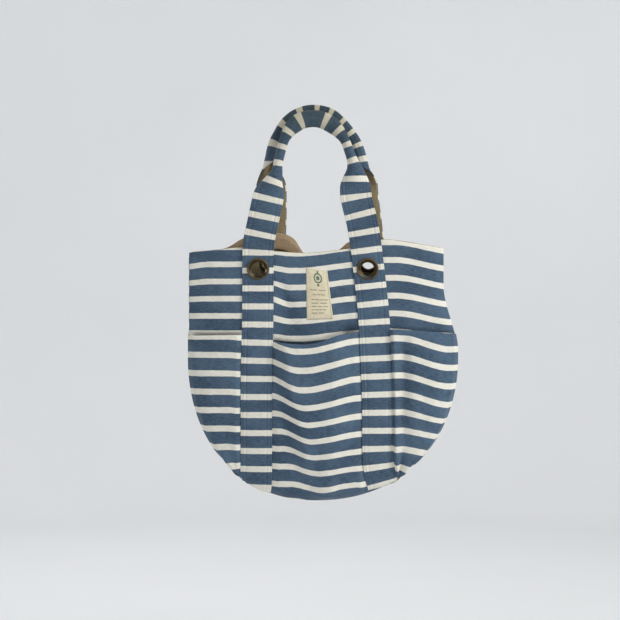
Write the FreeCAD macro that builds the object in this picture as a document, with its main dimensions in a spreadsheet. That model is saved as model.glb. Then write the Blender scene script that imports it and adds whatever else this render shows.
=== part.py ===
"""A striped cotton tote bag that hangs by its two handles.

The bag is a flat sack of two halves sewn together round the sides and the curved bottom. Each half has an
outer panel, a lining, a facing inside the rim, three patch pockets and two straps sewn on over the panel.
The straps run on above the rim and close into a handle whose top is folded into a round grip. An eyelet
goes through each strap just below the rim, and a label is sewn on the front.

Frame: +Z up, +X to the right of someone facing the front, the front towards -Y. The origin is the point that
the handles hang from, on the underside of the front grip. Lengths are in millimetres, angles in degrees.
"""
import FreeCAD
import Part
import math
import os

from FreeCAD import Placement, Rotation, Vector
from Sketcher import Constraint

DIMENSIONS = {
    # Outline of the empty space inside the bag
    "front_rim_height": -189,
    "back_rim_height": -174,
    "shoulder_height": -272,
    "widest_height": -350,
    "bottom_height": -565,
    "rim_half_width": 196,
    "shoulder_half_width": 197,
    "widest_half_width": 199,
    "rim_centre": 4,
    "shoulder_centre": 7,
    "widest_centre": 15,
    "bottom_centre": 4,
    "rim_half_depth": 15,
    "shoulder_half_depth": 21,
    "widest_half_depth": 24,
    "corner_roundness": 2.2,
    # Thickness of the cloth, and of the room in a pocket
    "facing_thickness": 0.8,
    "lining_thickness": 0.8,
    "panel_thickness": 1.6,
    "strap_thickness": 3,
    "label_thickness": 0.6,
    "pocket_room": 8,
    "pocket_thickness": 1.6,
    "seam_gap": 0.4,
    "facing_height": 24,
    "panel_seam_inset": 18,
    "yoke_seam_height": -278,
    # Pockets
    "pocket_wall": 3,
    "pocket_floor_height": -540,
    "front_left_hem": -321,
    "front_centre_hem": -337,
    "front_right_hem": -316,
    "back_left_hem": -316,
    "back_centre_hem": -326,
    "back_right_hem": -316,
    # Straps: their middle at the rim, and how far they lean from upright
    "strap_width": 48,
    "strap_half_length": 190,
    "strap_gap": 0.3,
    "front_left_strap": -85,
    "front_right_strap": 81,
    "back_left_strap": -68,
    "back_right_strap": 84,
    "front_left_lean": 0.5,
    "front_right_lean": -4,
    "back_left_lean": 2,
    "back_right_lean": -3,
    # Eyelets
    "eyelet_outer_radius": 17,
    "eyelet_bore_radius": 10,
    "eyelet_wall": 1,
    "eyelet_flange": 2.8,
    "eyelet_lip": 1.2,
    "washer_outer_radius": 16,
    "washer_thickness": 1.2,
    "front_eyelet_drop": 30,
    "back_eyelet_drop": 34,
    # Label
    "label_left": -11,
    "label_width": 36,
    "label_top": -217,
    "label_length": 80,
    # Handles
    "handle_gap": 1,
    "web_thickness": 4.4,
    "fold_length": 42,
    "grip_width": 24,
    "grip_side_width": 18,
    "grip_thickness": 17,
    "handle_wall": 2,
    "web_wall": 1.4,
    "front_arch_centre": 2,
    "front_arch_height": -57,
    "front_arch_half_span": 56,
    "front_arch_rise": 69,
    "front_grip_depth": 11,
    "back_arch_centre": 9,
    "back_arch_height": -42,
    "back_arch_half_span": 65,
    "back_arch_rise": 67,
    "back_grip_depth": 11,
}

HALVES = {"front": -1, "back": 1}  # and which way along Y is outwards
SIDES = ("left", "right")
LOWER_STATIONS = 7
LOWEST_ANGLE = 80
ARCH_STATIONS = 8
FAR = 400
LINING_FACE = "dims.lining_thickness"
PANEL_FACE = "(dims.lining_thickness + dims.panel_thickness)"
STRAP_FACE = "(dims.lining_thickness + dims.panel_thickness + dims.strap_thickness)"
LABEL_FACE = "(dims.lining_thickness + dims.panel_thickness + dims.label_thickness)"
POCKET_LINING = "(dims.lining_thickness + dims.panel_thickness + dims.pocket_room)"
POCKET_FACE = f"({POCKET_LINING} + dims.pocket_thickness)"

doc = FreeCAD.newDocument("striped_tote")
dims = doc.addObject("Spreadsheet::Sheet", "dims")


def fill_sheet():
    for row, (alias, value) in enumerate(DIMENSIONS.items(), start=1):
        dims.set(f"A{row}", alias.replace("_", " "))
        dims.set(f"B{row}", str(value))
        dims.setAlias(f"B{row}", alias)
    doc.recompute()


def size(alias):
    return float(dims.get(alias))


def bind(item, **expressions):
    """Binds properties to expressions; two underscores stand for the dot of a nested property."""
    for name, expression in expressions.items():
        item.setExpression(name.replace("__", "."), str(expression))


def boolean(kind, name, base, tool):
    item = doc.addObject(f"Part::{kind}", name)
    item.Base = base
    item.Tool = tool
    return item


def cut(name, base, *tools):
    for number, tool in enumerate(tools, start=1):
        base = boolean("Cut", name if number == len(tools) else f"{name}_trim_{number}", base, tool)
    return base


def common(name, base, tool):
    return boolean("Common", name, base, tool)


def block(name, low, high):
    """A box between two corners, each given as three expressions."""
    item = doc.addObject("Part::Box", name)
    length, width, height = (f"({b}) - ({a})" for a, b in zip(low, high))
    bind(item, Length=length, Width=width, Height=height)
    bind(item, Placement__Base__x=low[0], Placement__Base__y=low[1], Placement__Base__z=low[2])
    return item


def half_block(name, half, left, right, bottom, top):
    """A box that holds one half's cloth only, clear of the side seams."""
    if half == "front":
        return block(name, (left, -FAR, bottom), (right, "-dims.seam_gap", top))
    return block(name, (left, "dims.seam_gap", bottom), (right, FAR, top))


# The cloth: layers between skins, which are lofts of the space inside the bag, grown by an offset


def ellipse(name, major, minor):
    item = doc.addObject("Part::Ellipse", name)
    bind(item, MajorRadius=major, MinorRadius=minor)
    return item


def loft(name, sections):
    item = doc.addObject("Part::Loft", name)
    item.Sections = sections
    item.Solid = True
    item.Ruled = True
    return item


def station(name, half_width, half_depth, offset, centre, height):
    section = ellipse(name, f"{half_width} + {offset}", f"{half_depth} + {offset}")
    bind(section, Placement__Base__x=centre, Placement__Base__z=height)
    return section


def skin(name, offset):
    """The inside space grown by offset: ellipses from the back's rim down, closing on a rounded bottom."""
    sections = [
        station(
            f"{name}_{level}",
            f"dims.{level}_half_width",
            f"dims.{level}_half_depth",
            offset,
            f"dims.{level}_centre",
            f"dims.{height}",
        )
        for level, height in (("rim", "back_rim_height"), ("shoulder", "shoulder_height"))
    ]
    for number in range(LOWER_STATIONS):
        down = round(math.sin(math.radians(LOWEST_ANGLE * number / (LOWER_STATIONS - 1))), 4)
        shrink = f"(1 - {down}^dims.corner_roundness)^(1 / dims.corner_roundness)"
        sections.append(
            station(
                f"{name}_lower_{number}",
                f"dims.widest_half_width * {shrink}",
                f"dims.widest_half_depth * {shrink}",
                offset,
                f"dims.widest_centre + (dims.bottom_centre - dims.widest_centre) * {down}",
                f"dims.widest_height + (dims.bottom_height - dims.widest_height - {offset}) * {down}",
            )
        )
    return loft(name, sections)


def make_skins():
    offsets = {
        "facing_skin": "(-dims.facing_thickness)",
        "inner_skin": "0",
        "lining_skin": LINING_FACE,
        "panel_skin": PANEL_FACE,
        "label_skin": LABEL_FACE,
        "strap_skin": STRAP_FACE,
        "pocket_inner_skin": POCKET_LINING,
        "pocket_skin": POCKET_FACE,
    }
    return {name: skin(name, offset) for name, offset in offsets.items()}


def make_layers(skins):
    pairs = {
        "facing_layer": ("inner_skin", "facing_skin"),
        "lining_layer": ("lining_skin", "inner_skin"),
        "panel_layer": ("panel_skin", "lining_skin"),
        "label_layer": ("label_skin", "panel_skin"),
        "strap_layer": ("strap_skin", "panel_skin"),
        "pocket_layer": ("pocket_skin", "panel_skin"),
        "pocket_room_layer": ("pocket_inner_skin", "panel_skin"),
    }
    return {name: cut(name, skins[outer], skins[inner]) for name, (outer, inner) in pairs.items()}


def rim(half):
    return f"dims.{half}_rim_height"


def leaning_bar(name, half, side, start, length):
    """A bar that leans with a strap: it starts so far right of the strap's middle line, and is so long."""
    bar = doc.addObject("Part::Box", name)
    bind(bar, Length=length, Width=FAR, Height=2 * FAR)
    near = -FAR - size("seam_gap") if half == "front" else size("seam_gap")
    turn = Rotation(Vector(0, 1, 0), size(f"{half}_{side}_lean"))
    pivot = Vector(size(f"{half}_{side}_strap"), 0, size(f"{half}_rim_height"))
    bar.Placement = Placement(pivot + turn.multVec(Vector(start, near, 1.5 * -FAR)), turn)
    return bar


def panel(half, layers, holes):
    """The outer cloth: a centre, and two sides with a yoke each, seamed under the straps."""
    whole = common(f"{half}_panel_whole", layers["panel_layer"], half_block(
        f"{half}_panel_block", half, -FAR, FAR, 2 * -FAR, rim(half)))
    pierced = cut(f"{half}_panel_pierced", whole, *holes)
    starts = {"left": -FAR, "right": -size("panel_seam_inset")}
    zones = {
        side: leaning_bar(f"{half}_{side}_zone", half, side, start, f"{FAR} + dims.panel_seam_inset")
        for side, start in starts.items()
    }
    pieces = [cut(f"{half}_panel_centre", pierced, *zones.values())]
    for side, zone in zones.items():
        whole_side = common(f"{half}_{side}_side", pierced, zone)
        top = half_block(f"{half}_{side}_yoke_block", half, -FAR, FAR, "dims.yoke_seam_height", "0")
        pieces.append(common(f"{half}_yoke_{side}", whole_side, top))
        pieces.append(cut(f"{half}_panel_{side}", whole_side, top))
    return pieces


def lining(half, layers, holes):
    whole = common(f"{half}_lining_whole", layers["lining_layer"], half_block(
        f"{half}_lining_block", half, -FAR, FAR, 2 * -FAR, rim(half)))
    return cut(f"{half}_lining", whole, *holes)


def facing(half, layers, holes):
    whole = common(f"{half}_facing_whole", layers["facing_layer"], half_block(
        f"{half}_facing_block", half, -FAR, FAR, f"{rim(half)} - dims.facing_height", rim(half)))
    return cut(f"{half}_facing", whole, *holes)


def strap_bar(name, half, side, margin=None):
    """A bar that runs the whole height of a strap, wider than it by the named margin on each edge."""
    if margin is None:
        return leaning_bar(name, half, side, -size("strap_width") / 2, "dims.strap_width")
    start = -size("strap_width") / 2 - size(margin)
    return leaning_bar(name, half, side, start, f"dims.strap_width + 2 * dims.{margin}")


def strap_middle(half, side):
    return f"dims.{half}_{side}_strap - dims.strap_half_length * tan(1 deg * dims.{half}_{side}_lean)"


def strap(half, side, layers, hole):
    name = f"{half}_strap_{side}"
    bar = common(f"{name}_bar_layer", layers["strap_layer"], strap_bar(f"{name}_bar", half, side))
    whole = common(f"{name}_whole", bar, half_block(f"{name}_block", half, -FAR, FAR, 2 * -FAR, rim(half)))
    return cut(name, whole, hole)


def pocket(half, place, layers, strap_bars, wall_bars):
    """A shallow tray open at its hem, closed against the panel along the straps and the bottom."""
    name = f"{half}_pocket_{place}"
    left_strap, right_strap = (strap_middle(half, side) for side in SIDES)
    edges = {"left": (-FAR, left_strap), "centre": (left_strap, right_strap), "right": (right_strap, FAR)}
    left, right = edges[place]
    hem = f"dims.{half}_{place}_hem"
    outside = half_block(f"{name}_block", half, left, right, 2 * -FAR, hem)
    solid = common(f"{name}_solid", layers["pocket_layer"], outside)
    shell = cut(f"{name}_shell", solid, *strap_bars)
    inside = half_block(f"{name}_room_block", half, left, right, "dims.pocket_floor_height", "0")
    room = cut(f"{name}_room", common(f"{name}_room_whole", layers["pocket_room_layer"], inside), *wall_bars)
    return cut(name, shell, room)


def label(layers):
    low = ("dims.label_left", -FAR, "dims.label_top - dims.label_length")
    high = ("dims.label_left + dims.label_width", "-dims.seam_gap", "dims.label_top")
    return common("label", layers["label_layer"], block("label_block", low, high))


# Eyelets: turned about their own axis, which points outwards from the inside of the lining


def inner_depth(height, x):
    """How far the inside of the lining is from the middle plane, on the upper part of the bag."""
    top, bottom = size("back_rim_height"), size("shoulder_height")
    share = (top - height) / (top - bottom)

    def between(name):
        return size(f"rim_{name}") + share * (size(f"shoulder_{name}") - size(f"rim_{name}"))

    across = (x - between("centre")) / between("half_width")
    return between("half_depth") * math.sqrt(1 - across * across)


def cloth_depth():
    return size("lining_thickness") + size("panel_thickness") + size("strap_thickness")


def eyelet_place(half, side):
    drop = size(f"{half}_eyelet_drop")
    x = size(f"{half}_{side}_strap") - drop * math.tan(math.radians(size(f"{half}_{side}_lean")))
    height = size(f"{half}_rim_height") - drop
    outwards = HALVES[half]
    return Placement(
        Vector(x, outwards * inner_depth(height, x), height), Rotation(Vector(1, 0, 0), -90 * outwards)
    )


def turned(name, place, profile):
    """A body turned about its Z axis from corners given as (radius, height) expressions."""
    body = doc.addObject("PartDesign::Body", name)
    sketch = body.newObject("Sketcher::SketchObject", f"{name}_profile")
    plane = next(feature for feature in body.Origin.OriginFeatures if feature.Role == "XZ_Plane")
    sketch.AttachmentSupport = (plane, [""])
    sketch.MapMode = "FlatFace"
    count = len(profile)
    rough = [
        Vector(20 + 5 * math.cos(math.tau * number / count), 5 * math.sin(math.tau * number / count), 0)
        for number in range(count)
    ]
    for start, end in zip(rough, rough[1:] + rough[:1]):
        sketch.addGeometry(Part.LineSegment(start, end), False)
    for number in range(count):
        sketch.addConstraint(Constraint("Coincident", number, 2, (number + 1) % count, 1))
    for number, corner in enumerate(profile):
        for kind, expression, value in zip(("DistanceX", "DistanceY"), corner, rough[number]):
            index = sketch.addConstraint(Constraint(kind, -1, 1, number, 1, value))
            sketch.setExpression(f"Constraints[{index}]", expression)
    turn = body.newObject("PartDesign::Revolution", f"{name}_turn")
    turn.Profile = sketch
    turn.ReferenceAxis = (sketch, ["V_Axis"])
    turn.Angle = 360
    body.Tip = turn
    body.Placement = place
    return body


BARREL = "dims.eyelet_bore_radius + dims.eyelet_wall"
EYELET_TOP = f"{STRAP_FACE} + dims.eyelet_flange"


def eyelet_space(half, side):
    """The room that an eyelet and its washer take out of the cloth."""
    return turned(f"{half}_eyelet_space_{side}", eyelet_place(half, side), [
        ("0", "-dims.washer_thickness"),
        ("dims.washer_outer_radius", "-dims.washer_thickness"),
        ("dims.washer_outer_radius", "0"),
        (BARREL, "0"),
        (BARREL, STRAP_FACE),
        ("dims.eyelet_outer_radius", STRAP_FACE),
        ("dims.eyelet_outer_radius", EYELET_TOP),
        ("0", EYELET_TOP),
    ])


def eyelet(half, side):
    return turned(f"{half}_eyelet_{side}", eyelet_place(half, side), [
        ("dims.eyelet_bore_radius", "-dims.washer_thickness"),
        (BARREL, "-dims.washer_thickness"),
        (BARREL, STRAP_FACE),
        ("dims.eyelet_outer_radius", STRAP_FACE),
        ("dims.eyelet_outer_radius", f"{STRAP_FACE} + dims.eyelet_lip"),
        ("dims.eyelet_outer_radius - dims.eyelet_lip", EYELET_TOP),
        (f"{BARREL} + dims.eyelet_lip", EYELET_TOP),
        ("dims.eyelet_bore_radius", f"{STRAP_FACE} + dims.eyelet_lip"),
    ])


def washer(half, side):
    return turned(f"{half}_washer_{side}", eyelet_place(half, side), [
        (BARREL, "-dims.washer_thickness"),
        ("dims.washer_outer_radius", "-dims.washer_thickness"),
        ("dims.washer_outer_radius", "0"),
        (BARREL, "0"),
    ])


# Handles: ellipses along a leg, over a round arch and down the other leg


def handle_line(half):
    """Points of a handle's middle line: place, turn about Y, and whether the strap is still flat there."""
    outwards = HALVES[half]
    centre, arch_height = size(f"{half}_arch_centre"), size(f"{half}_arch_height")
    span, rise = size(f"{half}_arch_half_span"), size(f"{half}_arch_rise")
    foot_height = size(f"{half}_rim_height") + size("handle_gap")
    fold_share = 1 - size("fold_length") / (arch_height - foot_height)
    grip = Vector(0, outwards * size(f"{half}_grip_depth"), 0)
    legs = {}
    for side, sign in zip(SIDES, (-1, 1)):
        x = size(f"{half}_{side}_strap")
        face = inner_depth(foot_height, x) + cloth_depth()
        foot = Vector(x, outwards * (face - size("web_thickness") / 2), foot_height)
        top = Vector(centre + sign * span, grip.y, arch_height)
        fold = foot + (top - foot) * fold_share
        tilt = math.degrees(math.atan2(-sign * (top.x - foot.x), -sign * (top.z - foot.z)))
        legs[side] = [(foot, 0 if side == "left" else 180, True), (fold, tilt, True)]
    arch = []
    for number in range(ARCH_STATIONS + 1):
        angle = math.pi * number / ARCH_STATIONS
        along, up = math.cos(angle), math.sin(angle)
        point = Vector(centre - span * along, grip.y, arch_height + rise * up)
        arch.append((point, math.degrees(math.atan2(span * up, rise * along)), False))
    return legs["left"] + arch + legs["right"][::-1]


def handle_loft(name, line, inset):
    """inset takes the cloth's thickness off every side, for the part inside it."""
    sections = []
    for number, (point, turn, flat) in enumerate(line):
        steep = abs(math.cos(math.radians(turn)))
        grip_width = f"(dims.grip_width + (dims.grip_side_width - dims.grip_width) * {steep:.4f})"
        width = "dims.strap_width" if flat else grip_width
        thickness = "dims.web_thickness" if flat else "dims.grip_thickness"
        less = ("dims.web_wall" if flat else "dims.handle_wall") if inset else "0"
        section = ellipse(f"{name}_{number}", f"{width} / 2 - {less}", f"{thickness} / 2 - {less}")
        section.Placement = Placement(point, Rotation(Vector(0, 1, 0), turn))
        sections.append(section)
    return loft(name, sections)


def handle(half):
    line = handle_line(half)
    whole = handle_loft(f"{half}_handle_whole", line, False)
    core = handle_loft(f"{half}_handle_lining", line, True)
    return [cut(f"{half}_handle_strap", whole, core), core]


def make_half(half, layers):
    spaces = {side: eyelet_space(half, side) for side in SIDES}
    holes = list(spaces.values())
    nodes = panel(half, layers, holes) + [lining(half, layers, holes), facing(half, layers, holes)]
    nodes += [strap(half, side, layers, spaces[side]) for side in SIDES]
    bars = [strap_bar(f"{half}_{side}_bar", half, side, "strap_gap") for side in SIDES]
    walls = [strap_bar(f"{half}_{side}_wall_bar", half, side, "pocket_wall") for side in SIDES]
    nodes += [pocket(half, place, layers, bars, walls) for place in ("left", "centre", "right")]
    nodes += [eyelet(half, side) for side in SIDES]
    nodes += [washer(half, side) for side in SIDES]
    return nodes + handle(half)


def check(nodes):
    """Stops on a failed object, or on a sub-part that isn't one valid solid."""
    for item in doc.Objects:
        if {"Invalid", "Error"} & set(item.State):
            raise RuntimeError(f"{item.Name} failed: {item.State}")
    for node in nodes:
        shape = node.Shape
        if shape.isNull() or not shape.isValid() or len(shape.Solids) != 1:
            raise RuntimeError(f"{node.Label} is not one valid solid")
        box = shape.optimalBoundingBox(False)
        corners = (box.XMin, box.YMin, box.ZMin, box.XMax, box.YMax, box.ZMax)
        print(f"{node.Label}: {shape.Volume:.0f} mm3,", *(round(corner, 1) for corner in corners))


def export(nodes):
    os.makedirs("parts", exist_ok=True)
    for node in nodes:
        node.Shape.exportStep(f"parts/{node.Label}.step")


def main():
    fill_sheet()
    layers = make_layers(make_skins())
    nodes = [label(layers)]
    for half in HALVES:
        nodes += make_half(half, layers)
    doc.recompute()
    check(nodes)
    export(nodes)


main()
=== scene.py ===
"""A striped cotton tote bag that hangs by its two handles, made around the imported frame.

Every cloth piece is a sheet on a grid of points (down, across), laid on the round outer surface of its half
of the bag and lifted off it by folds. Lengths are in millimetres until a mesh is made. x runs to the right
and z up, and depth is the distance out from the middle plane: towards -y on the front half, +y on the back.
"""
import math

import bpy
import numpy as np
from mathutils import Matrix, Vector


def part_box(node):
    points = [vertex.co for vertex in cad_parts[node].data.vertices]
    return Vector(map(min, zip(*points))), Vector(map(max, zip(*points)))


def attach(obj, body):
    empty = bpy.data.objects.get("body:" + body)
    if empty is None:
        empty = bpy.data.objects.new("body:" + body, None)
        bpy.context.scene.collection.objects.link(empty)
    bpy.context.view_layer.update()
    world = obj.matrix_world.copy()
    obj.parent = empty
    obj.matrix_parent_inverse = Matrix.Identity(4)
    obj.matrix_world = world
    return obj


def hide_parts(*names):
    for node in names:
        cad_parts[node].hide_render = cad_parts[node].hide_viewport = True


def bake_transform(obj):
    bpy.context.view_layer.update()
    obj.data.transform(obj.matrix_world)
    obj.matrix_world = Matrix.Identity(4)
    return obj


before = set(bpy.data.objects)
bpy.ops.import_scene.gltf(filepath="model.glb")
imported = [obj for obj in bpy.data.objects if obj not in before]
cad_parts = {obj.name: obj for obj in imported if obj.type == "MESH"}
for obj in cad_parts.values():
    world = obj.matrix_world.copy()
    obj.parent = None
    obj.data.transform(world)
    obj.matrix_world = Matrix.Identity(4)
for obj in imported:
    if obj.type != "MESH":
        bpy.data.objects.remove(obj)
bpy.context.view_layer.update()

MM = 0.001
SIDES = ("left", "right")
PLACES = ("left", "centre", "right")

# ---- small helpers


def step(value, start, end):
    """0 before start, 1 after end, smooth between."""
    t = np.clip((value - start) / (end - start), 0, 1)
    return t * t * (3 - 2 * t)


def hill(value, centre, width):
    """1 at the centre, and next to nothing two widths away."""
    return np.exp(-(((value - centre) / width) ** 2))


def distances(line):
    """How far along the line each of its points is."""
    return np.concatenate([[0], np.cumsum(np.linalg.norm(np.diff(line, axis=0), axis=1))])


def along_line(where, gone, line):
    """The line's values at the distances where, when its own points are at the distances gone."""
    return np.column_stack([np.interp(where, gone, column) for column in line.T])


def smooth_line(points, samples=500):
    """An evenly spaced smooth line through the points: distances along it, and positions."""
    points = np.array(points, float)
    ends = np.vstack([2 * points[0] - points[1], points, 2 * points[-1] - points[-2]])
    share = np.linspace(0, 1, 24, endpoint=False)[:, None]
    pieces = [
        0.5 * (2 * start + (end - before) * share + (2 * before - 5 * start + 4 * end - after) * share**2
               + (3 * start - before - 3 * end + after) * share**3)
        for before, start, end, after in zip(ends, ends[1:], ends[2:], ends[3:])
    ]
    line = np.vstack(pieces + [points[-1:]])
    gone = distances(line)
    even = np.linspace(0, gone[-1], samples)
    return even, along_line(even, gone, line)


def through(*points):
    """A function whose graph is a smooth line through the points, given in rising order."""
    _, line = smooth_line(points)
    return lambda value: np.interp(value, line[:, 0], line[:, 1])


def ripple(x, z, seed, wave=130):
    """A gentle, repeatable unevenness between about -1 and 1."""
    turns = np.random.default_rng(seed).uniform(0, math.tau, 9)
    total = 0
    for number, turn in enumerate(turns):
        along = x * math.cos(turn) + z * math.sin(turn)
        total = total + np.sin(math.tau * along * (1 + 0.6 * number) / wave + 5 * turn) / (1 + 0.6 * number)
    return total / 2.6


def wrinkles(x, z, seed, coarse=1.2, fine=0.7):
    """Two sizes of unevenness together."""
    return coarse * ripple(x, z, seed) + fine * ripple(x, z, seed + 1, 48)


# ---- the outline and the outer surface

# x of the bag's middle, its bottom and widest levels, and how far each side reaches out from the middle
BOTTOM_X = 4
BOTTOM_Z = -575
WIDEST_Z = -347
LEFT_REACH = 197.5
RIGHT_REACH_TOP = 198
RIGHT_REACH = 219
ROUNDNESS = 2.2
# Half the bag's depth at the rim and lower down
FULLNESS_AT_RIM = 17
FULLNESS = 27


def narrowing(z):
    """1 down to the widest level, then falling to 0 at the bottom."""
    down = np.clip((WIDEST_Z - z) / (WIDEST_Z - BOTTOM_Z), 0, 1)
    return (1 - down**ROUNDNESS) ** (1 / ROUNDNESS)


def left_edge(z):
    return BOTTOM_X - LEFT_REACH * narrowing(z)


def right_edge(z):
    reach = RIGHT_REACH_TOP + (RIGHT_REACH - RIGHT_REACH_TOP) * step(-z, 243, 345)
    return BOTTOM_X + reach * narrowing(z)


def bottom_edge(x):
    """Height of the curved bottom seam under x."""
    reach = np.where(x < BOTTOM_X, LEFT_REACH, RIGHT_REACH)
    across = np.clip(np.abs(x - BOTTOM_X) / reach, 0, 1)
    gathers = 4.5 * hill(x, -121, 9) - 2.5 * hill(x, -139, 8) + 5 * hill(x, 127, 12) - 3 * hill(x, 147, 8)
    return WIDEST_Z + (BOTTOM_Z - WIDEST_Z) * (1 - across**ROUNDNESS) ** (1 / ROUNDNESS) - gathers


def depth(x, z):
    """The round outer surface: full in the middle, closing on the side and bottom seams."""
    left, right = left_edge(z), right_edge(z)
    middle, half = (left + right) / 2, np.maximum((right - left) / 2, 0.5)
    across = np.clip(np.abs(x - middle) / half, 0, 1)
    fullness = FULLNESS_AT_RIM + (FULLNESS - FULLNESS_AT_RIM) * step(-z, 180, 340)
    return fullness * narrowing(z) ** 0.8 * (1 - across**2.6) ** 0.6


def on_surface(x, z, lift):
    """(x, depth, z) of a point so far off the outer surface, measured square to it."""
    gap = 0.6
    slope_x = (depth(x + gap, z) - depth(x - gap, z)) / (2 * gap)
    slope_z = (depth(x, z + gap) - depth(x, z - gap)) / (2 * gap)
    steep = np.sqrt(1 + slope_x**2 + slope_z**2)
    return np.stack([x - lift * slope_x / steep, depth(x, z) + lift / steep, z - lift * slope_z / steep], -1)


# ---- meshes


def place_in_scene(name, data):
    thing = bpy.data.objects.new(name, data)
    bpy.context.scene.collection.objects.link(thing)
    return thing


def new_object(name, verts, faces, uv=None):
    mesh = bpy.data.meshes.new(name)
    mesh.from_pydata([tuple(v) for v in np.asarray(verts) * MM], [], [tuple(f) for f in faces])
    if uv is not None:
        layer = mesh.uv_layers.new(name="cloth")
        loops = np.zeros(len(mesh.loops), int)
        mesh.loops.foreach_get("vertex_index", loops)
        layer.data.foreach_set("uv", (np.asarray(uv)[loops] * MM).ravel())
    mesh.polygons.foreach_set("use_smooth", [True] * len(mesh.polygons))
    mesh.validate()
    mesh.update()
    return place_in_scene(name, mesh)


def ring_faces(first, count, around):
    """Faces between so many rings of points, one after the other, from point number first on."""
    return [
        (ring + n, ring + (n + 1) % around, ring + around + (n + 1) % around, ring + around + n)
        for ring in range(first, first + (count - 1) * around, around) for n in range(around)]


def grid_normals(points):
    down, across = np.gradient(points, axis=0), np.gradient(points, axis=1)
    normal = np.cross(across, down)
    return normal / np.maximum(np.linalg.norm(normal, axis=-1, keepdims=True), 1e-9)


def in_world(half, points):
    """A grid of (x, depth, z) points as (x, y, z), and the way that its cloth faces at each."""
    world = np.stack([points[..., 0], half.sign * points[..., 1], points[..., 2]], -1)
    return world, grid_normals(world) * -half.sign


# How thick a sheet is at its edge, as a share of its thickness
EDGE_THICKNESS = 0.45


def cloth(name, half, points, uv, thickness, holes=()):
    """A sheet with real thickness and rounded edges. points is (down, across, (x, depth, z))."""
    rows, columns = points.shape[:2]
    world, normal = in_world(half, points)
    share = np.full((rows, columns), 1.0)
    share[[0, -1], :] = EDGE_THICKNESS
    share[:, [0, -1]] = EDGE_THICKNESS
    offset = normal * (share * thickness / 2)[..., None]
    verts = np.concatenate([(world + offset).reshape(-1, 3), (world - offset).reshape(-1, 3)])
    middle = (points[:-1, :-1] + points[1:, :-1] + points[:-1, 1:] + points[1:, 1:]) / 4
    keep = np.ones((rows - 1, columns - 1), bool)
    for x, z, radius in holes:
        keep &= np.hypot(middle[..., 0] - x, middle[..., 2] - z) > radius
    number = np.arange(rows * columns).reshape(rows, columns)
    inner = rows * columns
    faces = []
    for row, column in zip(*np.nonzero(keep)):
        a, b = number[row, column], number[row, column + 1]
        c, d = number[row + 1, column + 1], number[row + 1, column]
        faces += [(a, b, c, d), (inner + d, inner + c, inner + b, inner + a)]
        sides = ((-1, 0, a, b), (0, 1, b, c), (1, 0, c, d), (0, -1, d, a))
        for row_step, column_step, start, end in sides:
            near_row, near_column = row + row_step, column + column_step
            inside = 0 <= near_row < rows - 1 and 0 <= near_column < columns - 1
            if not (inside and keep[near_row, near_column]):
                faces.append((start, inner + start, inner + end, end))
    if half.sign < 0:
        faces = [face[::-1] for face in faces]
    return new_object(name, verts, faces, np.concatenate([uv.reshape(-1, 2)] * 2))


def spans(world):
    """Lengths of a grid's rows and columns, and its area, in metres."""
    across = np.linalg.norm(np.diff(world, axis=1), axis=-1).sum(1) * MM
    down = np.linalg.norm(np.diff(world, axis=0), axis=-1).sum(0) * MM
    sides = np.cross(world[1:, :-1] - world[:-1, :-1], world[:-1, 1:] - world[:-1, :-1])
    other = np.cross(world[1:, :-1] - world[1:, 1:], world[:-1, 1:] - world[1:, 1:])
    area = (np.linalg.norm(sides, axis=-1) + np.linalg.norm(other, axis=-1)).sum() / 2 * MM * MM
    return across, down, area


# How strongly a grid's columns crowd to its sides, its first guess at z, and how often x and z are matched
CROWDING = 0.55
FIRST_Z = -250
REGION_PASSES = 6


def region(left, right, top, bottom, columns, rows, ease=1.5):
    """x and z of a grid between two side lines, made from z, and a top and a bottom line, made from x."""
    share = np.linspace(0, 1, columns)
    across = (1 - CROWDING) * share + CROWDING * (1 - np.cos(math.pi * share)) / 2
    down = 1 - (1 - np.linspace(0, 1, rows)) ** ease
    x = np.tile(left(FIRST_Z) + (right(FIRST_Z) - left(FIRST_Z)) * across, (rows, 1))
    z = np.zeros_like(x)
    for _ in range(REGION_PASSES):
        z = top(x) + (bottom(x) - top(x)) * down[:, None]
        x = left(z) + (right(z) - left(z)) * across
    return x, z


def side_left(z):
    return left_edge(np.maximum(z, WIDEST_Z))


def side_right(z):
    return right_edge(np.maximum(z, WIDEST_Z))


# How far inside the seams the lining and facing end
SEAM_INSET = 4


def inside_left(z):
    return side_left(z) + SEAM_INSET


def inside_right(z):
    return side_right(z) - SEAM_INSET


# ---- materials


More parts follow.
